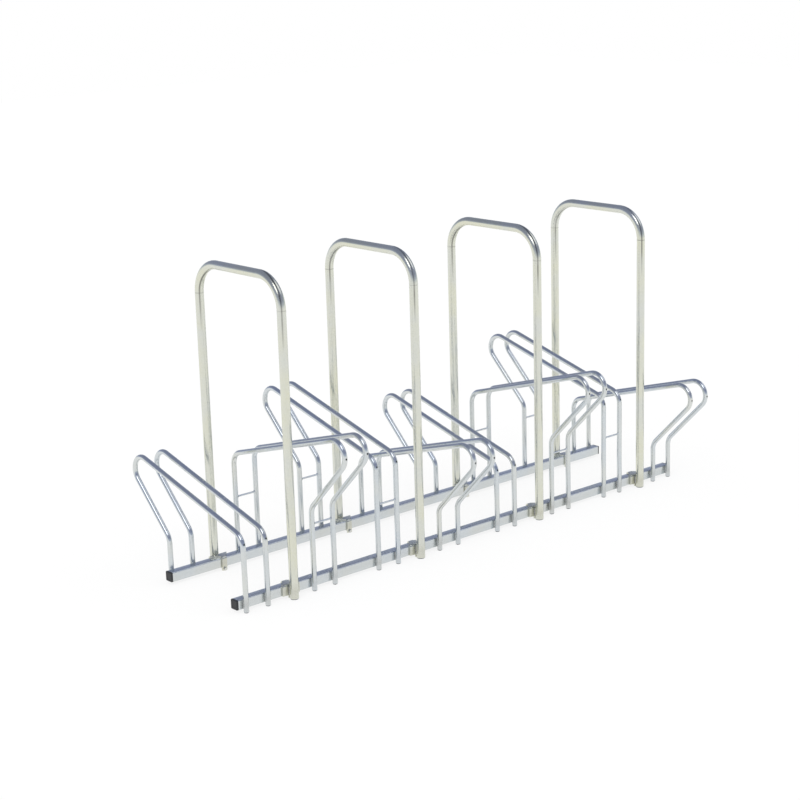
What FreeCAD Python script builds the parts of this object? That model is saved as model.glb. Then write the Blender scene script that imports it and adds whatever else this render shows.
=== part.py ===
# Floor rack for eight bicycles.
#
# Two square rails lie on the floor side by side. Eight wheel holders stand across them, each a
# pair of bent round tubes welded to the outer faces of the rails. The holders alternate: their
# noses point to the rear or to the front, and stand high or low. Four tall locking hoops stand
# astride the rails between the holders, each on two hook plates that are bolted under the rails.
#
# Millimetres. X runs along the rails, Y across them with the front at -Y, and Z up from the
# floor. The origin is on the floor, under the middle of the rack.
import FreeCAD, Part
import math
import os

V = FreeCAD.Vector

# Rails: square tube, lying a little above the floor
rail_size = 30.0
rail_wall = 2.0
rail_corner = 3.0
rail_spacing = 330.0
rail_lift = 10.0

# Caps in the rail ends
cap_head = 6.0
cap_chamfer = 2.5
cap_stem = 14.0
cap_wall = 2.5
cap_fit = 0.15

# Where things stand along the rails. Each hoop is clamped on a little off the middle of its gap.
first_overhang = 27.0
last_overhang = 15.0
holder_count = 8
holder_pitch = 250.0
slot_width = 62.0
hoop_every = 2
hoop_shifts = (2.0, -3.0, 17.0, 6.0)

# Wheel holders: round tube, bent three times
tube_diameter = 16.0
tube_wall = 1.5
flare_height = 256.0
flare_angle = 45.0
knee_height = 346.0
slope_angle = 15.7
bend_radius = 45.0
low_drop = 120.0

# Rods that tie the two tubes of a high holder
link_diameter = 6.0
link_height = 207.0

# Locking hoops: round tube, bent twice
hoop_diameter = 26.9
hoop_wall = 2.0
hoop_height = 965.0
hoop_bend_radius = 93.0

# Hook plates between the hoops and the rails
plate_thickness = 5.0
plate_width = 62.0
tab_width = 17.0
plate_floor_gap = 1.0
plate_fit = 0.2

# Bolts under the rails
bolt_diameter = 6.0
bolt_head_across = 10.0
bolt_head_height = 4.0
bolt_height = 6.0
bolt_clearance = 0.25

# Feet in the tube ends
foot_height = 3.0
foot_taper = 2.0
foot_stem = 12.0
foot_fit = 0.2

# How finely the round pieces are faceted
tube_facets = 12
bore_facets = 6
small_facets = 8
corner_steps = 3
facet_turn = 22.0

rail_y = rail_spacing / 2
rail_outer_y = rail_y + rail_size / 2
rail_top = rail_lift + rail_size
tube_radius = tube_diameter / 2
tube_y = rail_outer_y + tube_radius
tube_spacing = slot_width + tube_diameter
plate_outer_y = rail_outer_y + plate_fit + plate_thickness
plate_inner_y = rail_y - rail_size / 2 - plate_fit - plate_thickness
hoop_radius = hoop_diameter / 2
hoop_y = plate_outer_y + hoop_radius

holders_length = (holder_count - 1) * holder_pitch + tube_spacing
rack_length = first_overhang + holders_length + last_overhang
rail_length = rack_length - 2 * cap_head
first_tube_x = first_overhang - rack_length / 2
gap_middle = (tube_spacing + holder_pitch) / 2


def save(shape, name):
    """Write one node, and stop if it is not sound."""
    if not shape.isValid():
        raise ValueError(name + " is not a valid solid")
    shape.exportStep("parts/" + name + ".step")


def polygon_face(points):
    return Part.Face(Part.makePolygon(points + points[:1]))


def arc(middle, radius, start, end, steps):
    """Corners of a faceted arc, as pairs, between two angles in degrees."""
    corners = []
    for index in range(steps + 1):
        angle = math.radians(start + (end - start) * index / steps)
        corners.append((middle[0] + radius * math.cos(angle), middle[1] + radius * math.sin(angle)))
    return corners


def rounded_square(size, corner, x=0.0):
    """Outline of a square with round corners, in the YZ plane about the X axis."""
    flat = size / 2 - corner
    outline = []
    for quarter, (y, z) in enumerate(((flat, flat), (-flat, flat), (-flat, -flat), (flat, -flat))):
        outline += arc((y, z), corner, 90 * quarter, 90 * quarter + 90, corner_steps)
    return [V(x, y, z) for y, z in outline]


def regular_outline(facets, across, at, first, second):
    """Polygon of the given size across its flats, round a point and in two directions."""
    corner = across / 2 / math.cos(math.pi / facets)
    points = []
    for index in range(facets):
        angle = 2 * math.pi * (index + 0.5) / facets
        points.append(at + first * (corner * math.cos(angle)) + second * (corner * math.sin(angle)))
    return points


def prism(facets, across, start, end):
    """Faceted round bar from one point to another, with flats up, down and sideways."""
    along = (end - start).normalize()
    first = V(0, 0, 1) if abs(along.z) < 0.5 else V(1, 0, 0)
    outline = regular_outline(facets, across, start, first, along.cross(first))
    return polygon_face(outline).extrude(end - start)


def bent_route(corners, radius):
    """Centre line of a bent tube: each corner becomes an even run of short turns.

    Corners are (across, up) pairs. The turns lie just outside the bend's arc, so that the
    straight stretches between them touch it.
    """
    route = [corners[0]]
    for before, corner, after in zip(corners, corners[1:], corners[2:]):
        entry = math.atan2(corner[1] - before[1], corner[0] - before[0])
        leave = math.atan2(after[1] - corner[1], after[0] - corner[0])
        turn = (leave - entry + math.pi) % (2 * math.pi) - math.pi
        side = math.copysign(1.0, turn)
        set_back = radius * math.tan(abs(turn) / 2)
        middle = (
            corner[0] - set_back * math.cos(entry) - side * radius * math.sin(entry),
            corner[1] - set_back * math.sin(entry) + side * radius * math.cos(entry),
        )
        steps = max(2, round(math.degrees(abs(turn)) / facet_turn))
        reach = radius / math.cos(turn / steps / 2)
        for index in range(steps):
            angle = entry + turn * (index + 0.5) / steps - side * math.pi / 2
            route.append((middle[0] + reach * math.cos(angle), middle[1] + reach * math.sin(angle)))
    route.append(corners[-1])
    return route


def skin(rings):
    """Solid through a row of rings that have their corners in the same order."""
    faces = [polygon_face(rings[0]), polygon_face(rings[-1])]
    for near, far in zip(rings, rings[1:]):
        for index in range(len(near)):
            after = (index + 1) % len(near)
            faces.append(polygon_face([near[index], near[after], far[after], far[index]]))
    shell = Part.makeShell(faces)
    shell.sewShape()
    solid = Part.makeSolid(Part.Shell(shell.Faces))
    if solid.Volume < 0:
        solid.reverse()
    return solid


def tube_along(route, facets, across):
    """Faceted bar along a centre line in the YZ plane, mitred where it turns."""
    rings = []
    for index, (y, z) in enumerate(route):
        into = route[max(index, 1) - 1], route[max(index, 1)]
        out = route[min(index, len(route) - 2)], route[min(index, len(route) - 2) + 1]
        first = math.atan2(into[1][1] - into[0][1], into[1][0] - into[0][0])
        second = math.atan2(out[1][1] - out[0][1], out[1][0] - out[0][0])
        half_turn = ((second - first + math.pi) % (2 * math.pi) - math.pi) / 2
        heading = first + half_turn
        normal = V(0, -math.sin(heading), math.cos(heading)) * (1 / math.cos(half_turn))
        rings.append(regular_outline(facets, across, V(0, y, z), normal, V(1, 0, 0)))
    return skin(rings)


def bent_tube(corners, radius, across, wall):
    route = bent_route(corners, radius)
    return tube_along(route, tube_facets, across).cut(tube_along(route, bore_facets, across - 2 * wall))


def holder_tube(drop):
    """One tube of a wheel holder, with its nose to the rear: a leg that flares out to the nose,
    a tight turn, a long slope back down across both rails, and a second leg."""
    flare = math.tan(math.radians(flare_angle))
    slope = math.tan(math.radians(slope_angle))
    start = flare_height - drop
    knee = knee_height - drop
    nose_y = (knee - start + tube_y * (slope + flare)) / (flare - slope)
    nose = (nose_y, knee + (nose_y + tube_y) * slope)
    corners = [(tube_y, foot_height), (tube_y, start), nose, (-tube_y, knee), (-tube_y, foot_height)]
    return bent_tube(corners, bend_radius, tube_diameter, tube_wall)


def level_ring(facets, across, height):
    return regular_outline(facets, across, V(0, 0, height), V(0, 1, 0), V(1, 0, 0))


def foot(diameter, wall, taper, facets):
    """Plastic foot for a tube end, standing on the origin: a head that narrows to the floor and
    a stem that fills the bore."""
    sole = level_ring(facets, diameter - 2 * taper, 0)
    rim = level_ring(facets, diameter, foot_height)
    bore = level_ring(bore_facets, diameter - 2 * wall - 2 * foot_fit, foot_height)
    stem = polygon_face(bore).extrude(V(0, 0, foot_stem))
    return skin([sole, rim]).fuse(stem)


def rail():
    start = -rail_length / 2
    outline = polygon_face(rounded_square(rail_size, rail_corner, start))
    bore = polygon_face(rounded_square(rail_size - 2 * rail_wall, rail_corner - rail_wall, start))
    tube = outline.cut(bore).extrude(V(rail_length, 0, 0))
    tube.translate(V(0, 0, rail_lift + rail_size / 2))
    return tube


def end_cap():
    """Cap for the right end of a rail, whose end face is at X = 0: a head with a bevelled face,
    and a square cup pressed into the bore."""
    back = rounded_square(rail_size, rail_corner)
    rim = rounded_square(rail_size, rail_corner, cap_head - cap_chamfer)
    face = rounded_square(rail_size - 2 * cap_chamfer, rail_corner, cap_head)
    across = rail_size - 2 * rail_wall - 2 * cap_fit
    cup = Part.makeBox(cap_stem, across, across, V(-cap_stem, -across / 2, -across / 2))
    inside = across - 2 * cap_wall
    hollow = Part.makeBox(cap_stem, inside, inside, V(-cap_stem, -inside / 2, -inside / 2))
    cap = skin([back, rim, face]).fuse(cup.cut(hollow))
    cap.translate(V(0, 0, rail_lift + rail_size / 2))
    return cap


def hook_plate():
    """Plate bent over a rail, for a hoop leg on its front side. The outer flange is wide and
    carries the leg, the web narrows across the rail, and a narrow tab comes down its inner side."""
    low = plate_floor_gap
    outer, inner = -plate_outer_y, -plate_inner_y
    inside_bend = rail_corner
    outside_bend = inside_bend + plate_thickness
    bend_z = rail_top - inside_bend
    outer_bend = (outer + outside_bend, bend_z)
    inner_bend = (inner - outside_bend, bend_z)
    outline = [(inner, low)] + arc(inner_bend, outside_bend, 0, 90, corner_steps)
    outline += arc(outer_bend, outside_bend, 90, 180, corner_steps) + [(outer, low)]
    outline += [(outer + plate_thickness, low)] + arc(outer_bend, inside_bend, 180, 90, corner_steps)
    outline += arc(inner_bend, inside_bend, 90, 0, corner_steps) + [(inner - plate_thickness, low)]
    strip = polygon_face([V(-plate_width / 2, y, z) for y, z in outline]).extrude(V(plate_width, 0, 0))

    wide, narrow = plate_width / 2, tab_width / 2
    shoulder, waist = outer_bend[0], inner_bend[0]
    half_plan = [(wide, outer), (wide, shoulder), (narrow, waist), (narrow, inner)]
    plan = half_plan + [(-x, y) for x, y in reversed(half_plan)]
    blank = polygon_face([V(x, y, 0) for x, y in plan]).extrude(V(0, 0, rail_top + plate_thickness))
    plate = strip.common(blank)
    for x in (narrow, -wide):
        corner = Part.makeBox(wide - narrow, plate_thickness, rail_lift - low, V(x, outer, low))
        plate = plate.cut(corner)
    past = plate_thickness
    hole = prism(small_facets, bolt_diameter + 2 * bolt_clearance,
                 V(0, inner - 2 * past, bolt_height), V(0, inner + past, bolt_height))
    thread = prism(small_facets, bolt_diameter,
                   V(0, outer - past, bolt_height), V(0, outer + 2 * past, bolt_height))
    return plate.cut(hole).cut(thread)


def plate_bolt():
    """Hexagon bolt for a front hook plate: its head against the inner tab, its end flush with
    the outer flange that it is screwed into."""
    seat = V(0, -plate_inner_y, bolt_height)
    shank = prism(small_facets, bolt_diameter, seat, V(0, -plate_outer_y, bolt_height))
    head = prism(6, bolt_head_across, seat + V(0, bolt_head_height, 0), seat)
    return shank.fuse(head)


def turned(shape):
    """The same piece for the opposite side of the rack, turned half way round."""
    copy = shape.copy()
    copy.rotate(V(0, 0, 0), V(0, 0, 1), 180)
    return copy


def moved(shape, x, y=0.0):
    copy = shape.copy()
    copy.translate(V(x, y, 0))
    return copy


os.makedirs("parts", exist_ok=True)

rail_piece = rail()
cap_piece = end_cap()
for name, side in (("front", -1), ("rear", 1)):
    save(moved(rail_piece, 0, side * rail_y), "rail_" + name)
    save(moved(cap_piece, rail_length / 2, side * rail_y), "rail_" + name + "_right_cap")
    save(moved(turned(cap_piece), -rail_length / 2, side * rail_y), "rail_" + name + "_left_cap")

high_tube = holder_tube(0)
low_tube = holder_tube(low_drop)
link = prism(small_facets, link_diameter, V(tube_radius, 0, link_height),
             V(tube_spacing - tube_radius, 0, link_height))
tube_foot = foot(tube_diameter, tube_wall, foot_taper, small_facets)
holder_feet = []
for index in range(holder_count):
    holder = "holder_" + str(index + 1)
    left_x = first_tube_x + index * holder_pitch
    high = index % 4 in (1, 2)
    tube = high_tube if high else low_tube
    if index % 2:
        tube = turned(tube)
    save(moved(tube, left_x), holder + "_left_tube")
    save(moved(tube, left_x + tube_spacing), holder + "_right_tube")
    if high:
        rods = [moved(link, left_x, side * tube_y) for side in (-1, 1)]
        save(Part.makeCompound(rods), holder + "_link_rods")
    for x in (left_x, left_x + tube_spacing):
        holder_feet += [moved(tube_foot, x, side * tube_y) for side in (-1, 1)]
save(Part.makeCompound(holder_feet), "holder_feet")

hoop_top = hoop_height - hoop_radius
hoop_corners = [(-hoop_y, foot_height), (-hoop_y, hoop_top), (hoop_y, hoop_top), (hoop_y, foot_height)]
hoop_piece = bent_tube(hoop_corners, hoop_bend_radius, hoop_diameter, hoop_wall)
plate_piece = hook_plate()
bolt_piece = plate_bolt()
hoop_foot = foot(hoop_diameter, hoop_wall, foot_taper, tube_facets)
hoop_feet = []
bolts = []
for index, shift in enumerate(hoop_shifts):
    hoop = "hoop_" + str(index + 1)
    x = first_tube_x + index * hoop_every * holder_pitch + gap_middle + shift
    save(moved(hoop_piece, x), hoop)
    save(moved(plate_piece, x), hoop + "_front_plate")
    save(moved(turned(plate_piece), x), hoop + "_rear_plate")
    bolts += [moved(bolt_piece, x), moved(turned(bolt_piece), x)]
    hoop_feet += [moved(hoop_foot, x, side * hoop_y) for side in (-1, 1)]
save(Part.makeCompound(bolts), "plate_bolts")
save(Part.makeCompound(hoop_feet), "hoop_feet")
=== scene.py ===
import math
import bmesh
import bpy
from mathutils import Euler, Matrix, Quaternion, Vector


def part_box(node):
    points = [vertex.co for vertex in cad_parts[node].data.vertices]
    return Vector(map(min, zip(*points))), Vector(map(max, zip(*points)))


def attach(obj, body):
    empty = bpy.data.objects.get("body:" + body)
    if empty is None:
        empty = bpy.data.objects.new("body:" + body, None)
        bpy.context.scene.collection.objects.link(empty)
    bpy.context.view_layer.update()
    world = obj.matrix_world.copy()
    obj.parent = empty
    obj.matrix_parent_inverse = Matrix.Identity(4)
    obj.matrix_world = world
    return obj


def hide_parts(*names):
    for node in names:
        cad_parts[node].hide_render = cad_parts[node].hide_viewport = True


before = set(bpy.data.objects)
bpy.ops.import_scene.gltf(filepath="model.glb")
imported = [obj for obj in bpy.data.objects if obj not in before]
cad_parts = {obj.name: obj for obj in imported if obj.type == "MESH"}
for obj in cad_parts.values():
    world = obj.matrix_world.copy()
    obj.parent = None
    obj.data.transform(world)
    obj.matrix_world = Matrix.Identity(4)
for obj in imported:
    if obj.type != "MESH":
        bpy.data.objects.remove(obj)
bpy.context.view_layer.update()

# lengths are in metres and angles in degrees
rack = {
    "holders": 8,
    "hoops": 4,
    "pitch": 0.250,
    "tubeSpacing": 0.078,
    "lowDrop": 0.120,
    "floorGap": 0.003,
}
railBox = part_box("rail_front")
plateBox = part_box("hoop_1_front_plate")
white = (1.0, 1.0, 1.0, 1.0)
tiny = 1e-5


def middleX(node):
    low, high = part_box(node)
    return (low.x + high.x) / 2


class Flow:
    # one socket of a node tree, with operators that add Math nodes

    def __init__(self, tree, socket):
        self.tree = tree
        self.socket = socket

    def math(self, operation, *others):
        return addNode(self.tree, "ShaderNodeMath", {"operation": operation}, [self, *others])

    def __add__(self, other):
        return self.math("ADD", other)

    def __radd__(self, other):
        return self.math("ADD", other)

    def __sub__(self, other):
        return self.math("SUBTRACT", other)

    def __rsub__(self, other):
        return addNode(self.tree, "ShaderNodeMath", {"operation": "SUBTRACT"}, [other, self])

    def __mul__(self, other):
        return self.math("MULTIPLY", other)

    def clamp(self):
        return self.math("MAXIMUM", 0.0).math("MINIMUM", 1.0)

    def contrast(self, gain, cut):
        return (self * gain - cut).clamp()

    def near(self, place, fade):
        # 1 where the value is at the place, and less on both sides of it
        return (1.0 - (self - place).math("ABSOLUTE") * fade).clamp()


def addNode(tree, kind, settings, inputs, output=0):
    node = tree.nodes.new(kind)
    for name, value in settings.items():
        if name == "stops":
            ramp = node.color_ramp
            while len(ramp.elements) < len(value):
                ramp.elements.new(0.5)
            for element, (place, colour) in zip(ramp.elements, value):
                element.position = place
                element.color = (*colour, 1.0)
        else:
            setattr(node, name, value)
    pairs = inputs.items() if isinstance(inputs, dict) else enumerate(inputs)
    for name, value in pairs:
        if isinstance(value, Flow):
            tree.links.new(value.socket, node.inputs[name])
        else:
            node.inputs[name].default_value = value
    return Flow(tree, node.outputs[output]) if len(node.outputs) else node


def mixColours(tree, factor, first, second):
    # inputs 6 and 7 of a Mix node are its two colours, and its output 2 is the mixed one
    settings = {"data_type": "RGBA", "clamp_factor": True}
    return addNode(tree, "ShaderNodeMix", settings, {0: factor, 6: first, 7: second}, 2)


def newMaterial(name):
    material = bpy.data.materials.new(name)
    material.use_nodes = True
    tree = material.node_tree
    tree.nodes.clear()
    return material, tree


def finishSurface(tree, inputs, height, strength, distance):
    bump = {"Strength": strength, "Distance": distance, "Height": height}
    inputs["Normal"] = addNode(tree, "ShaderNodeBump", {}, bump)
    surface = addNode(tree, "ShaderNodeBsdfPrincipled", {}, inputs)
    addNode(tree, "ShaderNodeOutputMaterial", {}, {"Surface": surface})


def objectPlace(tree, stretch=(1.0, 1.0, 1.0)):
    place = addNode(tree, "ShaderNodeTexCoord", {}, [], "Object")
    return addNode(tree, "ShaderNodeMapping", {}, {"Vector": place, "Scale": stretch})


def axisOf(tree, source, axis):
    place = addNode(tree, "ShaderNodeTexCoord", {}, [], source)
    return addNode(tree, "ShaderNodeSeparateXYZ", {}, [place], axis)


def noise(tree, place, scale, detail=3.0, rough=0.5):
    inputs = {"Vector": place, "Scale": scale, "Detail": detail, "Roughness": rough}
    return addNode(tree, "ShaderNodeTexNoise", {}, inputs)


zinc = {
    "cloudScale": 9.0,
    "cloudDetail": 4.0,
    "cloudContrast": (2.6, 0.8),
    "grainDetail": 5.0,
    "grainRough": 0.6,
    "spangleInBright": 0.35,
    "grainInBright": 0.5,
    "brightCut": 0.15,
    "railBandHeight": 0.025,
    "railBandFade": 32.0,
    "railBandGain": 1.6,
    "railBandCut": 0.25,
    "railBandColour": (0.33, 0.32, 0.30, 1.0),
    "grainInRough": 0.10,
    "spangleInRough": 0.03,
    "railBandInRough": 0.25,
    "grainInBump": 0.6,
    "spangleInBump": 0.25,
    "bumpDepth": 0.0004,
}
# the ring keys set the bending tool's mark; the other keys set a painted dark reflection down the
# hoop legs
bendRingAndReflection = {
    "ringFade": 420.0,
    "ringContrast": (1.9, 0.55),
    "ringColour": (0.16, 0.16, 0.16, 1.0),
    "sideX": 0.757,
    "sideY": 0.653,
    "reflectionPlace": 0.12,
    "reflectionFade": 3.8,
    "reflectionLength": 0.12,
    "reflectionTaper": 11.0,
    "reflectionContrast": (2.2, 0.25),
    "reflectionStrength": 0.9,
    "reflectionColour": (0.11, 0.11, 0.10, 1.0),
}


def paintBendRingAndReflection(tree, tint, clouds, height, bendEnd):
    # a thin dull ring where the bending tool gripped the tube
    ring = height.near(bendEnd, bendRingAndReflection["ringFade"]) * clouds.contrast(*bendRingAndReflection["ringContrast"])
    tint = mixColours(tree, ring, tint, bendRingAndReflection["ringColour"])
    # a painted dark reflection: a dark streak down the tube from the bend, on the side that the
    # camera sees
    across = axisOf(tree, "Normal", "X") * bendRingAndReflection["sideX"]
    across = across - axisOf(tree, "Normal", "Y") * bendRingAndReflection["sideY"]
    paintedReflection = across.near(bendRingAndReflection["reflectionPlace"], bendRingAndReflection["reflectionFade"])
    taper = (height - (bendEnd - bendRingAndReflection["reflectionLength"])) * bendRingAndReflection["reflectionTaper"]
    paintedReflection = paintedReflection * taper.clamp() * clouds.contrast(*bendRingAndReflection["reflectionContrast"])
    return mixColours(tree, paintedReflection * bendRingAndReflection["reflectionStrength"], tint, bendRingAndReflection["reflectionColour"])


def zincMaterial(name, look, bendEnd=None):
    material, tree = newMaterial(name)
    place = objectPlace(tree)
    drawn = objectPlace(tree, look["drawn"])
    clouds = noise(tree, place, zinc["cloudScale"], zinc["cloudDetail"])
    grain = noise(tree, drawn, look["grain"], zinc["grainDetail"], zinc["grainRough"])
    cells = {"Vector": place, "Scale": look["spangle"]}
    spangle = addNode(tree, "ShaderNodeTexVoronoi", {"feature": "F1"}, cells, "Color")
    spangle = addNode(tree, "ShaderNodeSeparateColor", {}, [spangle], "Red")
    # a darker, duller cloudy band at the height of the rails, where the tubes meet them
    height = axisOf(tree, "Object", "Z")
    nearRail = height.near(zinc["railBandHeight"], zinc["railBandFade"])
    railBand = (nearRail * (clouds * zinc["railBandGain"] - zinc["railBandCut"])).clamp() * look["railBand"]
    tint = mixColours(tree, clouds.contrast(*zinc["cloudContrast"]), look["cool"], look["warm"])
    bright = spangle * zinc["spangleInBright"] + grain * zinc["grainInBright"] - zinc["brightCut"]
    tint = mixColours(tree, bright.clamp(), tint, look["bright"])
    tint = mixColours(tree, railBand, tint, zinc["railBandColour"])
    # the hoops also get a painted dark reflection below their bends
    if bendEnd:
        tint = paintBendRingAndReflection(tree, tint, clouds, height, bendEnd)
    rough = look["rough"] + (grain - 0.5) * zinc["grainInRough"]
    rough = rough + (spangle - 0.5) * zinc["spangleInRough"] + railBand * zinc["railBandInRough"]
    surface = {"Base Color": tint, "Roughness": rough.clamp(), "Metallic": 1.0}
    relief = grain * zinc["grainInBump"] + spangle * zinc["spangleInBump"]
    finishSurface(tree, surface, relief, look["bump"], zinc["bumpDepth"])
    return material


weldLook = {
    "ripple": 900.0,
    "patch": 120.0,
    "patchContrast": (2.2, 0.6),
    "dark": (0.40, 0.39, 0.37, 1.0),
    "pale": (0.66, 0.68, 0.68, 1.0),
    "rough": 0.34,
    "patchInRough": 0.3,
    "metallic": 0.95,
    "bump": 0.5,
    "bumpDepth": 0.0005,
}


def weldMaterial():
    material, tree = newMaterial("weldBead")
    place = objectPlace(tree)
    ripple = noise(tree, place, weldLook["ripple"])
    patch = noise(tree, place, weldLook["patch"])
    mixed = patch.contrast(*weldLook["patchContrast"])
    tint = mixColours(tree, mixed, weldLook["dark"], weldLook["pale"])
    rough = weldLook["rough"] + patch * weldLook["patchInRough"]
    surface = {"Base Color": tint, "Roughness": rough, "Metallic": weldLook["metallic"]}
    finishSurface(tree, surface, ripple, weldLook["bump"], weldLook["bumpDepth"])
    return material


plastic = {
    "fine": 2600.0,
    "fineDetail": 2.0,
    "dust": 90.0,
    "dustDetail": 5.0,
    "dustRough": 0.65,
    "dustContrast": (3.0, 1.75),
    "dustShare": 0.4,
    "scuffs": 140.0,
    "scuffStretch": (1.0, 9.0, 1.0),
    "scuffContrast": (5.0, 2.95),
    "scuffShare": 0.5,
    "fineInRough": 0.12,
    "wornInRough": 0.12,
    "bump": 0.25,
    "bumpDepth": 0.0003,
}


def plasticMaterial(name, look):
    material, tree = newMaterial(name)
    place = objectPlace(tree)
    fine = noise(tree, place, plastic["fine"], plastic["fineDetail"])
    dust = noise(tree, place, plastic["dust"], plastic["dustDetail"], plastic["dustRough"])
    scuffs = noise(tree, objectPlace(tree, plastic["scuffStretch"]), plastic["scuffs"])
    worn = scuffs.contrast(*plastic["scuffContrast"]) * plastic["scuffShare"]
    worn = worn + dust.contrast(*plastic["dustContrast"]) * plastic["dustShare"]
    tint = mixColours(tree, worn.clamp(), look["colour"], look["worn"])
    rough = look["rough"] + fine * plastic["fineInRough"] + worn * plastic["wornInRough"]
    surface = {"Base Color": tint, "Roughness": rough.clamp()}
    finishSurface(tree, surface, fine, plastic["bump"], plastic["bumpDepth"])
    return material


zincTube = zincMaterial("zincHolderTube", {
    "cool": (0.58, 0.63, 0.68, 1.0),
    "warm": (0.68, 0.69, 0.65, 1.0),
    "bright": (0.74, 0.77, 0.77, 1.0),
    "drawn": (1.0, 1.0, 0.22),
    "grain": 420.0,
    "spangle": 260.0,
    "rough": 0.19,
    "bump": 0.02,
    "railBand": 0.55,
})
zincRail = zincMaterial("zincRail", {
    "cool": (0.59, 0.64, 0.68, 1.0),
    "warm": (0.69, 0.71, 0.68, 1.0),
    "bright": (0.76, 0.79, 0.79, 1.0),
    "drawn": (0.10, 1.0, 1.0),
    "grain": 380.0,
    "spangle": 300.0,
    "rough": 0.20,
    "bump": 0.03,
    "railBand": 0.22,
})
zincPlate = zincMaterial("zincHookPlate", {
    "cool": (0.60, 0.63, 0.58, 1.0),
    "warm": (0.74, 0.72, 0.56, 1.0),
    "bright": (0.76, 0.77, 0.72, 1.0),
    "drawn": (1.0, 1.0, 1.0),
    "grain": 300.0,
    "spangle": 240.0,
    "rough": 0.25,
    "bump": 0.08,
    "railBand": 0.45,
})
zincBolt = zincMaterial("zincBolt", {
    "cool": (0.60, 0.62, 0.65, 1.0),
    "warm": (0.72, 0.71, 0.60, 1.0),
    "bright": (0.76, 0.77, 0.76, 1.0),
    "drawn": (1.0, 1.0, 1.0),
    "grain": 900.0,
    "spangle": 700.0,
    "rough": 0.22,
    "bump": 0.06,
    "railBand": 0.15,
})
weldBead = weldMaterial()
capPlastic = plasticMaterial("capPlastic", {
    "colour": (0.022, 0.023, 0.026, 1.0),
    "worn": (0.11, 0.11, 0.115, 1.0),
    "rough": 0.42,
})
footPlastic = plasticMaterial("footPlastic", {
    "colour": (0.24, 0.25, 0.27, 1.0),
    "worn": (0.42, 0.42, 0.41, 1.0),
    "rough": 0.5,
})
print("materials made")


def ringOf(bm, radius, sides, place):
    # an open circle of edges, level, at a place
    made = bmesh.ops.create_circle(
        bm, cap_ends=False, radius=radius, segments=sides, matrix=Matrix.Translation(place)
    )
    return list({edge for vert in made["verts"] for edge in vert.link_edges})


def addRound(bm, sides, bottom, top, depth, matrix):
    return bmesh.ops.create_cone(
        bm, cap_ends=True, segments=sides, radius1=bottom, radius2=top, depth=depth, matrix=matrix
    )["verts"]


def addBlock(bm, middle, size):
    place = Matrix.Translation(middle) @ Matrix.Diagonal((*size, 1.0))
    bmesh.ops.create_cube(bm, size=1.0, matrix=place)


def edgesAlongX(bm):
    return [edge for edge in bm.edges if abs(edge.verts[0].co.x - edge.verts[1].co.x) > tiny]


def facesToward(bm, side):
    # the faces that look to the right (1) or to the left (-1)
    bm.normal_update()
    return [face for face in bm.faces if face.normal.x * side > 0.9]


def roundEdges(bm, edges, size, steps):
    bmesh.ops.bevel(
        bm, geom=edges, offset=size, offset_type="OFFSET", segments=steps, profile=0.5,
        affect="EDGES", material=-1,
    )


def pull(bm, edges, move, scale=None):
    made = bmesh.ops.extrude_edge_only(bm, edges=edges)["geom"]
    verts = [item for item in made if isinstance(item, bmesh.types.BMVert)]
    bmesh.ops.translate(bm, vec=move, verts=verts)
    if scale:
        middle = sum((vert.co for vert in verts), Vector()) / len(verts)
        bmesh.ops.scale(bm, vec=scale, verts=verts, space=Matrix.Translation(-middle))
    return [item for item in made if isinstance(item, bmesh.types.BMEdge)]


def turn(bm, edges, centre, angle, steps):
    # bend the open end round a line along X
    made = bmesh.ops.spin(
        bm, geom=edges, cent=centre, axis=(1.0, 0.0, 0.0), dvec=(0.0, 0.0, 0.0),
        angle=angle, steps=steps, use_duplicate=False,
    )["geom_last"]
    return [item for item in made if isinstance(item, bmesh.types.BMEdge)]


def followRoute(bm, edges, corners, radius, step):
    # pull and bend an open end along (across, up) corners in the YZ plane
    x = sum(vert.co.x for edge in edges for vert in edge.verts) / (2 * len(edges))
    spot = Vector(corners[0])
    for index in range(1, len(corners)):
        corner = Vector(corners[index])
        heading = (corner - spot).normalized()
        if index == len(corners) - 1:
            return pull(bm, edges, (0.0, *(corner - spot)))
        leaving = (Vector(corners[index + 1]) - corner).normalized()
        angle = heading.angle_signed(leaving) * -1.0
        setBack = radius * math.tan(abs(angle) / 2)
        bendStart = corner - heading * setBack
        edges = pull(bm, edges, (0.0, *(bendStart - spot)))
        side = math.copysign(radius, angle)
        centre = bendStart + Vector((-heading.y, heading.x)) * side
        steps = max(2, round(math.degrees(abs(angle)) / step))
        edges = turn(bm, edges, (x, *centre), angle, steps)
        spot = corner + leaving * setBack
    return edges


def bentTube(corners, look):
    bm = bmesh.new()
    start = ringOf(bm, look["radius"], look["sides"], (0.0, *corners[0]))
    followRoute(bm, start, corners, look["bend"], look["bendStep"])
    bmesh.ops.recalc_face_normals(bm, faces=bm.faces)
    bmesh.ops.solidify(bm, geom=bm.faces[:], thickness=look["wall"])
    return bm


def shadeByAngle(bm, limit):
    for face in bm.faces:
        face.smooth = True
    for edge in bm.edges:
        if len(edge.link_faces) == 2 and edge.calc_face_angle(0.0) > math.radians(limit):
            edge.smooth = False


def makePiece(name, bm, material, limit=32.0):
    bmesh.ops.remove_doubles(bm, verts=bm.verts, dist=1e-6)
    bmesh.ops.recalc_face_normals(bm, faces=bm.faces)
    shadeByAngle(bm, limit)
    mesh = bpy.data.meshes.new(name)
    bm.to_mesh(mesh)
    bm.free()
    piece = bpy.data.objects.new(name, mesh)
    bpy.context.scene.collection.objects.link(piece)
    mesh.materials.append(material)
    return piece


def modified(piece):
    # the piece's mesh with its modifiers applied, in place of the piece
    ready = piece.evaluated_get(bpy.context.evaluated_depsgraph_get())
    mesh = bpy.data.meshes.new_from_object(ready)
    bpy.data.objects.remove(piece)
    bm = bmesh.new()
    bm.from_mesh(mesh)
    return bm


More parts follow.
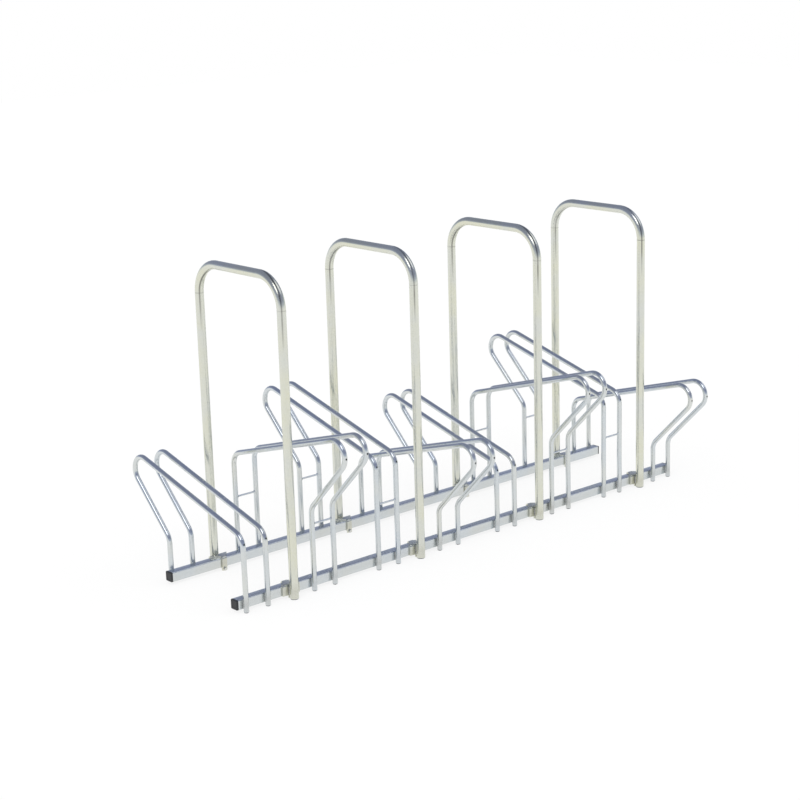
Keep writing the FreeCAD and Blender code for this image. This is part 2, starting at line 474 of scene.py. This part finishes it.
def copyOf(piece, name, move, half=False):
    # the same mesh somewhere else, turned half way round if asked
    mesh = piece.data.copy()
    mesh.name = name
    place = Matrix.Translation(move)
    if half:
        place = place @ Matrix.Rotation(math.pi, 4, "Z")
    mesh.transform(place)
    made = bpy.data.objects.new(name, mesh)
    bpy.context.scene.collection.objects.link(made)
    return made


def settle(piece, slot, *nodes):
    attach(piece, "root")
    if nodes:
        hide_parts(*nodes)


holder = {
    "radius": 0.008,
    "wall": 0.0015,
    "sides": 28,
    "flareHeight": 0.256,
    "flareAngle": 45.0,
    "kneeHeight": 0.346,
    "slopeAngle": 15.7,
    "bend": 0.045,
    "bendStep": 5.0,
    "ventRadius": 0.003,
    "ventLength": 0.012,
    "ventSides": 14,
    "ventLeans": {2: 0.0, 3: 164.0},
}
firstX = middleX("holder_1_left_tube")
holderLegY = -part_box("holder_1_left_tube")[0].y - holder["radius"]


def holderCorners(drop):
    flare = math.tan(math.radians(holder["flareAngle"]))
    slope = math.tan(math.radians(holder["slopeAngle"]))
    start = holder["flareHeight"] - drop
    knee = holder["kneeHeight"] - drop
    reach = (knee - start + holderLegY * (slope + flare)) / (flare - slope)
    nose = (reach, knee + (reach + holderLegY) * slope)
    foot = rack["floorGap"]
    return [
        (holderLegY, foot), (holderLegY, start), nose, (-holderLegY, knee), (-holderLegY, foot)
    ]


def bendMiddle(corners, index, radius):
    corner = Vector(corners[index])
    back = (Vector(corners[index - 1]) - corner).normalized()
    ahead = (Vector(corners[index + 1]) - corner).normalized()
    half = back.angle(ahead) / 2
    return corner + (back + ahead).normalized() * (radius / math.sin(half))


def ventCutter(corners):
    # the small holes that let the zinc drain, one in the nose and one in the knee
    bm = bmesh.new()
    for index, lean in holder["ventLeans"].items():
        middle = bendMiddle(corners, index, holder["bend"])
        angle = math.radians(lean)
        out = Vector((0.0, math.cos(angle), math.sin(angle)))
        place = Vector((0.0, *middle)) + out * (holder["bend"] + holder["radius"])
        aim = out.to_track_quat("Z", "Y").to_matrix().to_4x4()
        addRound(
            bm, holder["ventSides"], holder["ventRadius"], holder["ventRadius"],
            holder["ventLength"], Matrix.Translation(place) @ aim,
        )
    return makePiece("ventCutter", bm, zincTube)


def holderTube(name, drop):
    corners = holderCorners(drop)
    tube = makePiece(name, bentTube(corners, holder), zincTube)
    cutter = ventCutter(corners)
    cut = tube.modifiers.new("vents", "BOOLEAN")
    cut.operation = "DIFFERENCE"
    cut.solver = "EXACT"
    cut.object = cutter
    bm = modified(tube)
    bpy.data.objects.remove(cutter)
    return makePiece(name, bm, zincTube)


weld = {
    "tubeBead": 0.0023,
    "tubeOffset": 0.0052,
    "tubeInset": 0.0016,
    "tubeLow": 0.002,
    "tubeHigh": 0.001,
    "hoopBead": 0.0031,
    "hoopOffset": 0.0086,
    "hoopInset": 0.0022,
    "hoopLow": 0.001,
    "hoopHigh": 0.007,
    "ripple": 0.0026,
    "sides": 10,
    "startSize": 0.45,
    "startSwell": 2.1,
    "valley": 0.86,
    "crest": 1.16,
    "endSwell": 0.5,
    "sharpAngle": 60.0,
}


def weldLine(bm, radius, place, low, high):
    # a rippled bead of weld metal, standing upright
    steps = max(4, round((high - low) / weld["ripple"]))
    rise = (high - low) / steps
    edges = ringOf(bm, radius * weld["startSize"], weld["sides"], (*place, low))
    bmesh.ops.contextual_create(bm, geom=edges)
    for index in range(steps):
        swell = weld["valley"] if index % 2 else weld["crest"]
        if index == 0:
            swell = weld["startSwell"]
        if index == steps - 1:
            swell = weld["endSwell"]
        edges = pull(bm, edges, (0.0, 0.0, rise), (swell, swell, 1.0))
    bmesh.ops.contextual_create(bm, geom=edges)


link = {"radius": 0.003, "height": 0.207, "collar": 0.0046, "collarLength": 0.0016, "sides": 18}


def linkRods(name, node):
    low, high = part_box(node)
    bm = bmesh.new()
    for side in (-1, 1):
        rod = bmesh.new()
        edges = ringOf(rod, link["collar"], link["sides"], (0.0, 0.0, 0.0))
        grow = link["radius"] / link["collar"]
        length = high.x - low.x
        edges = pull(rod, edges, (0.0, 0.0, link["collarLength"]), (grow, grow, 1.0))
        edges = pull(rod, edges, (0.0, 0.0, length - 2 * link["collarLength"]))
        pull(rod, edges, (0.0, 0.0, link["collarLength"]), (1 / grow, 1 / grow, 1.0))
        place = Matrix.Translation((low.x, side * holderLegY, link["height"]))
        place = place @ Matrix.Rotation(math.pi / 2, 4, "Y")
        bmesh.ops.transform(rod, matrix=place, verts=rod.verts)
        holding = bpy.data.meshes.new("rod")
        rod.to_mesh(holding)
        rod.free()
        bm.from_mesh(holding)
        bpy.data.meshes.remove(holding)
    bmesh.ops.holes_fill(bm, edges=bm.edges[:], sides=0)
    settle(makePiece(name, bm, zincTube), "galvanised_steel", node)


highTube = holderTube("highTubePattern", 0.0)
lowTube = holderTube("lowTubePattern", rack["lowDrop"])
tubeFeet = []
for index in range(rack["holders"]):
    number = index + 1
    leftX = firstX + index * rack["pitch"]
    isHigh = index % 4 in (1, 2)
    pattern = highTube if isHigh else lowTube
    beads = bmesh.new()
    for side, x in (("left", leftX), ("right", leftX + rack["tubeSpacing"])):
        node = f"holder_{number}_{side}_tube"
        name = f"holder{number}{side.title()}Tube"
        tube = copyOf(pattern, name, (x, 0.0, 0.0), half=index % 2 == 1)
        settle(tube, "galvanised_steel", node)
        tubeFeet += [(x, -holderLegY), (x, holderLegY)]
        for y in (-1, 1):
            face = y * (holderLegY - holder["radius"] + weld["tubeInset"])
            low, high = railBox[0].z + weld["tubeLow"], railBox[1].z - weld["tubeHigh"]
            for offset in (-weld["tubeOffset"], weld["tubeOffset"]):
                weldLine(beads, weld["tubeBead"], (x + offset, face), low, high)
    if isHigh:
        linkRods(f"holder{number}LinkRods", f"holder_{number}_link_rods")
    welds = makePiece(f"holder{number}Welds", beads, weldBead, weld["sharpAngle"])
    settle(welds, "galvanised_steel")
bpy.data.objects.remove(highTube)
bpy.data.objects.remove(lowTube)
print("wheel holders made")


railLook = {"corner": 0.003, "cornerSteps": 4, "wall": 0.002, "sharpAngle": 28.0}


def railPiece(name, node):
    low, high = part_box(node)
    bm = bmesh.new()
    addBlock(bm, (low + high) / 2, high - low)
    roundEdges(bm, edgesAlongX(bm), railLook["corner"], railLook["cornerSteps"])
    ends = facesToward(bm, -1) + facesToward(bm, 1)
    bmesh.ops.delete(bm, geom=ends, context="FACES_ONLY")
    bmesh.ops.recalc_face_normals(bm, faces=bm.faces)
    bmesh.ops.solidify(bm, geom=bm.faces[:], thickness=railLook["wall"])
    settle(makePiece(name, bm, zincRail, railLook["sharpAngle"]), "galvanised_steel", node)


capLook = {
    "head": 0.006,
    "edge": 0.0022,
    "edgeSteps": 3,
    "dishSize": 0.72,
    "dishSlope": 0.95,
    "dish": 0.0006,
    "stem": 0.0257,
    "sharpAngle": 40.0,
}


def capPiece(name, node, side):
    low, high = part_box(node)
    outer = high.x if side > 0 else low.x
    inner = low.x if side > 0 else high.x
    seat = outer - side * capLook["head"]
    y, z = ((low + high) / 2).yz
    bm = bmesh.new()
    addBlock(bm, ((seat + outer) / 2, y, z), (capLook["head"], high.y - low.y, high.z - low.z))
    roundEdges(bm, edgesAlongX(bm), railLook["corner"], railLook["cornerSteps"])
    front = facesToward(bm, side)[0]
    roundEdges(bm, front.edges[:], capLook["edge"], capLook["edgeSteps"])
    front = max(facesToward(bm, side), key=lambda face: face.calc_area())
    sunk = Vector((-side * capLook["dish"], 0.0, 0.0))
    for size, move in ((capLook["dishSize"], Vector()), (capLook["dishSlope"], sunk)):
        heart = Matrix.Translation(-front.calc_center_median())
        front = bmesh.ops.extrude_discrete_faces(bm, faces=[front])["faces"][0]
        bmesh.ops.scale(bm, vec=(1.0, size, size), verts=front.verts[:], space=heart)
        bmesh.ops.translate(bm, vec=move, verts=front.verts[:])
    stem = (abs(seat - inner), capLook["stem"], capLook["stem"])
    addBlock(bm, ((seat + inner) / 2, y, z), stem)
    settle(makePiece(name, bm, capPlastic, capLook["sharpAngle"]), "black_plastic", node)


for end in ("front", "rear"):
    railPiece(f"{end}Rail", f"rail_{end}")
    capPiece(f"{end}RailLeftCap", f"rail_{end}_left_cap", -1)
    capPiece(f"{end}RailRightCap", f"rail_{end}_right_cap", 1)
print("rails and caps made")


hoop = {"radius": 0.01345, "wall": 0.002, "bend": 0.093, "sides": 36, "bendStep": 4.0}
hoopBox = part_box("hoop_1")
hoopTop = hoopBox[1].z - hoop["radius"]
hoopLegY = -(hoopBox[0].y + hoop["radius"])
zincHoop = zincMaterial("zincHoopTube", {
    "cool": (0.65, 0.67, 0.65, 1.0),
    "warm": (0.71, 0.71, 0.56, 1.0),
    "bright": (0.77, 0.78, 0.71, 1.0),
    "drawn": (1.0, 1.0, 0.16),
    "grain": 360.0,
    "spangle": 220.0,
    "rough": 0.22,
    "bump": 0.02,
    "railBand": 0.35,
}, hoopTop - hoop["bend"])
plate = {
    "thickness": 0.005,
    "width": 0.062,
    "tab": 0.017,
    "bend": 0.0055,
    "bendSteps": 6,
    "shoulder": 0.0008,
    "edge": 0.0007,
    "edgeSteps": 2,
    "edgeAngle": 50.0,
    "sharpAngle": 35.0,
}


def hoopTube():
    foot = hoopBox[0].z
    corners = [(-hoopLegY, foot), (-hoopLegY, hoopTop), (hoopLegY, hoopTop), (hoopLegY, foot)]
    return makePiece("hoopPattern", bentTube(corners, hoop), zincHoop)


def hookPlate():
    # the front plate of a hoop at X = 0: up the rail's outer face, over it and down inside
    low, high = plateBox
    half = plate["thickness"] / 2
    outer, inner = low.y + half, high.y - half
    bendZ = high.z - half - plate["bend"]
    bm = bmesh.new()
    first = bm.verts.new((-plate["tab"] / 2, outer, low.z))
    second = bm.verts.new((plate["tab"] / 2, outer, low.z))
    edges = [bm.edges.new((first, second))]
    wide = plate["width"] / plate["tab"]
    edges = pull(bm, edges, (0.0, 0.0, railBox[0].z - low.z))
    edges = pull(bm, edges, (0.0, 0.0, plate["shoulder"]), (wide, 1.0, 1.0))
    edges = pull(bm, edges, (0.0, 0.0, bendZ - railBox[0].z - plate["shoulder"]))
    centre = (0.0, outer + plate["bend"], bendZ)
    edges = turn(bm, edges, centre, -math.pi / 2, plate["bendSteps"])
    edges = pull(bm, edges, (0.0, inner - outer - 2 * plate["bend"], 0.0), (1 / wide, 1.0, 1.0))
    centre = (0.0, inner - plate["bend"], bendZ)
    edges = turn(bm, edges, centre, -math.pi / 2, plate["bendSteps"])
    pull(bm, edges, (0.0, 0.0, low.z - bendZ))
    strip = makePiece("strip", bm, zincPlate)
    thick = strip.modifiers.new("thickness", "SOLIDIFY")
    thick.thickness = plate["thickness"]
    thick.offset = 0.0
    thick.use_even_offset = True
    ease = strip.modifiers.new("edges", "BEVEL")
    ease.width = plate["edge"]
    ease.segments = plate["edgeSteps"]
    ease.angle_limit = math.radians(plate["edgeAngle"])
    return makePiece("platePattern", modified(strip), zincPlate, plate["sharpAngle"])


hoopPattern = hoopTube()
platePattern = hookPlate()
hoopXs = [middleX(f"hoop_{index + 1}") for index in range(rack["hoops"])]
hoopFeet = []
for number, x in enumerate(hoopXs, 1):
    place = (x, 0.0, 0.0)
    tube = copyOf(hoopPattern, f"hoop{number}Tube", place)
    settle(tube, "galvanised_steel", f"hoop_{number}")
    hoopFeet += [(x, -hoopLegY), (x, hoopLegY)]
    beads = bmesh.new()
    for side, y in (("front", -1), ("rear", 1)):
        made = copyOf(platePattern, f"hoop{number}{side.title()}Plate", place, half=y > 0)
        settle(made, "galvanised_steel", f"hoop_{number}_{side}_plate")
        face = y * (hoopLegY - hoop["radius"] + weld["hoopInset"])
        low, high = railBox[0].z + weld["hoopLow"], plateBox[1].z - weld["hoopHigh"]
        for offset in (-weld["hoopOffset"], weld["hoopOffset"]):
            weldLine(beads, weld["hoopBead"], (x + offset, face), low, high)
    welds = makePiece(f"hoop{number}Welds", beads, weldBead, weld["sharpAngle"])
    settle(welds, "galvanised_steel")
bpy.data.objects.remove(hoopPattern)
bpy.data.objects.remove(platePattern)
print("hoops made")


bolt = {
    "across": 0.010,
    "head": 0.004,
    "shank": 0.003,
    "shankSides": 20,
    "height": 0.006,
    "crown": 0.0008,
    "crownSteps": 2,
}


def boltPieces():
    bm = bmesh.new()
    corner = bolt["across"] / 2 / math.cos(math.pi / 6)
    for x in hoopXs:
        for side in (-1, 1):
            seat = side * -plateBox[1].y
            end = side * -plateBox[0].y
            top = seat - side * bolt["head"]
            away = Matrix.Rotation(math.pi / 2 * side, 4, "X")
            place = Matrix.Translation((x, (seat + top) / 2, bolt["height"])) @ away
            place = place @ Matrix.Rotation(math.pi / 6, 4, "Z")
            made = addRound(bm, 6, corner, corner, bolt["head"], place)
            crown = [vert for vert in made if abs(vert.co.y - top) < tiny]
            rim = [edge for edge in bm.edges if all(vert in crown for vert in edge.verts)]
            roundEdges(bm, rim, bolt["crown"], bolt["crownSteps"])
            place = Matrix.Translation((x, (seat + end) / 2, bolt["height"])) @ away
            length = abs(end - seat)
            addRound(bm, bolt["shankSides"], bolt["shank"], bolt["shank"], length, place)
    settle(makePiece("plateBolts", bm, zincBolt), "zinc_fasteners", "plate_bolts")


footLook = {
    "height": 0.003,
    "taper": 0.002,
    "sides": 24,
    "stem": 0.012,
    "stemSides": 16,
    "gap": 0.0002,
    "edge": 0.0005,
    "edgeSteps": 2,
    "sharpAngle": 40.0,
}


def footPieces(name, node, look, places):
    bm = bmesh.new()
    height, length = footLook["height"], footLook["stem"]
    rimSize = look["radius"]
    soleSize = rimSize - footLook["taper"]
    stemSize = rimSize - look["wall"] - footLook["gap"]
    for x, y in places:
        place = Matrix.Translation((x, y, height / 2))
        made = addRound(bm, footLook["sides"], soleSize, rimSize, height, place)
        sole = [vert for vert in made if vert.co.z < tiny]
        rim = {edge for vert in sole for edge in vert.link_edges if edge.other_vert(vert) in sole}
        roundEdges(bm, list(rim), footLook["edge"], footLook["edgeSteps"])
        place = Matrix.Translation((x, y, height + length / 2))
        addRound(bm, footLook["stemSides"], stemSize, stemSize, length, place)
    settle(makePiece(name, bm, footPlastic, footLook["sharpAngle"]), "grey_plastic", node)


boltPieces()
footPieces("holderFeet", "holder_feet", holder, tubeFeet)
footPieces("hoopFeet", "hoop_feet", hoop, hoopFeet)
print("bolts and feet made")


studio = {
    "floorSize": 30.0,
    "floorColour": (0.92, 0.92, 0.92, 1.0),
    "floorRough": 0.5,
    "floorGlow": 0.80,
    "light": (0.92, 0.92, 0.92, 1.0),
    "sky": [
        (0.0, (0.84, 0.87, 0.89)),
        (0.06, (0.56, 0.62, 0.74)),
        (0.30, (0.30, 0.33, 0.46)),
        (1.0, (0.22, 0.25, 0.36)),
    ],
}


def rayIs(tree, kind):
    return addNode(tree, "ShaderNodeLightPath", {}, [], f"Is {kind} Ray")


def studioFloor():
    bm = bmesh.new()
    bmesh.ops.create_grid(bm, x_segments=1, y_segments=1, size=studio["floorSize"] / 2)
    material, tree = newMaterial("paleFloor")
    paint = {"Color": studio["floorColour"], "Roughness": studio["floorRough"]}
    dull = addNode(tree, "ShaderNodeBsdfDiffuse", {}, paint)
    glow = addNode(tree, "ShaderNodeEmission", {}, {"Color": white, "Strength": 1.0})
    seen = (rayIs(tree, "Camera") + rayIs(tree, "Glossy")) * studio["floorGlow"]
    mixed = addNode(tree, "ShaderNodeMixShader", {}, [seen, dull, glow])
    addNode(tree, "ShaderNodeOutputMaterial", {}, {"Surface": mixed})
    floor = makePiece("studioFloor", bm, material)


def studioWorld():
    world = bpy.data.worlds.new("studioWorld")
    bpy.context.scene.world = world
    world.use_nodes = True
    tree = world.node_tree
    tree.nodes.clear()
    up = axisOf(tree, "Generated", "Z").clamp()
    sky = addNode(tree, "ShaderNodeValToRGB", {"stops": studio["sky"]}, [up])
    colour = mixColours(tree, rayIs(tree, "Glossy"), studio["light"], sky)
    colour = mixColours(tree, rayIs(tree, "Camera"), colour, white)
    light = addNode(tree, "ShaderNodeBackground", {}, {"Color": colour, "Strength": 1.0})
    addNode(tree, "ShaderNodeOutputWorld", {}, {"Surface": light})


lamps = [
    {"name": "keyLamp", "from": (-1.0, -0.7, 1.3), "spread": 30.0, "power": 0.55},
    {"name": "fillLamp", "from": (0.9, -0.6, 1.2), "spread": 40.0, "power": 0.30},
]


def studioLamps():
    for lamp in lamps:
        data = bpy.data.lights.new(lamp["name"], "SUN")
        data.energy = lamp["power"]
        data.angle = math.radians(lamp["spread"])
        made = bpy.data.objects.new(lamp["name"], data)
        made.location = lamp["from"]
        made.rotation_euler = Vector(lamp["from"]).to_track_quat("Z", "Y").to_euler()
        bpy.context.scene.collection.objects.link(made)


# the camera's angles are in radians
cameraSet = {
    "place": (-3.7732, -4.2125, 1.9032),
    "lens": 82.31,
    "sensor": 36.0,
    "heading": 0.7114,
    "dip": -0.2559,
    "roll": -0.0294,
}


def studioCamera():
    data = bpy.data.cameras.new("camera")
    data.lens = cameraSet["lens"]
    data.sensor_width = cameraSet["sensor"]
    camera = bpy.data.objects.new("camera", data)
    camera.location = cameraSet["place"]
    level = Euler((math.pi / 2 + cameraSet["dip"], 0.0, -cameraSet["heading"])).to_quaternion()
    camera.rotation_mode = "QUATERNION"
    camera.rotation_quaternion = level @ Quaternion((0.0, 0.0, 1.0), cameraSet["roll"])
    bpy.context.scene.collection.objects.link(camera)
    bpy.context.scene.camera = camera


studioFloor()
studioWorld()
studioLamps()
studioCamera()
bpy.context.scene.view_settings.view_transform = "Standard"
print("studio made")

bpy.context.view_layer.update()
